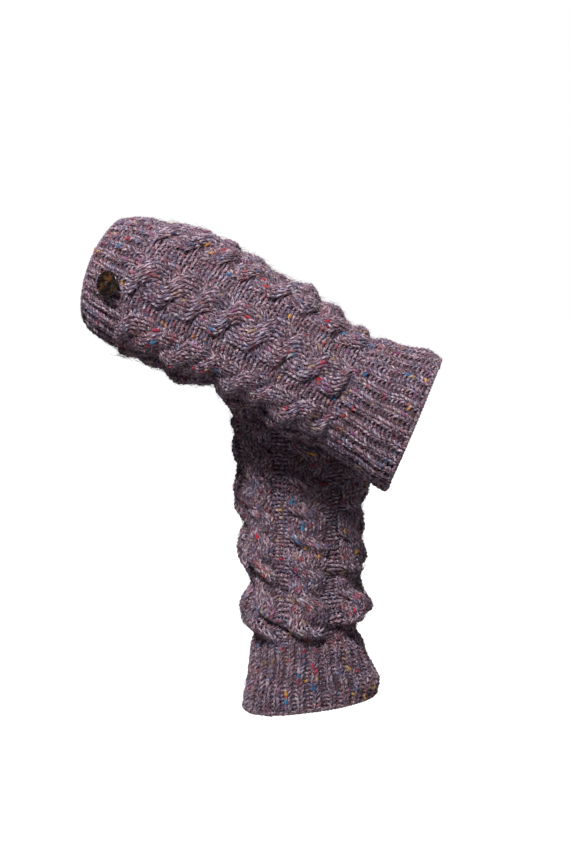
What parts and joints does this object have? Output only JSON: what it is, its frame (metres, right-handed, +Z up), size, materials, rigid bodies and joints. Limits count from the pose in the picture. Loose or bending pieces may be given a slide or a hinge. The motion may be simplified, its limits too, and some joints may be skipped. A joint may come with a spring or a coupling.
{
  "type": "pair of knitted leg warmers",
  "caption": "Hand-knit style leg warmers in tweed yarn with rope cables, ribbed cuffs and a shell button, kept in a worn, hollow pose.",
  "frame": {"origin": "centre of the standing tube's top cuff, where a calf holds it", "axes": "+Z up along the standing tube, -X towards its shin side, -Y towards its inner side, where the lifted tube crosses in front"},
  "size_m": [0.372, 0.2771, 0.5435],
  "materials": {
    "cuff_yarn": "mauve tweed wool, ribbed knit, soft halo",
    "leg_yarn": "mauve tweed wool, cabled knit, soft halo",
    "shell": "polished dark coconut shell"
  },
  "bodies": {
    "root": {"standing_top_cuff": "cuff_yarn", "standing_leg": "leg_yarn", "standing_bottom_cuff": "cuff_yarn", "standing_button": "shell", "lifted_top_cuff": "cuff_yarn", "lifted_leg": "leg_yarn", "lifted_bottom_cuff": "cuff_yarn", "lifted_button": "shell"}
  },
  "joints": []
}
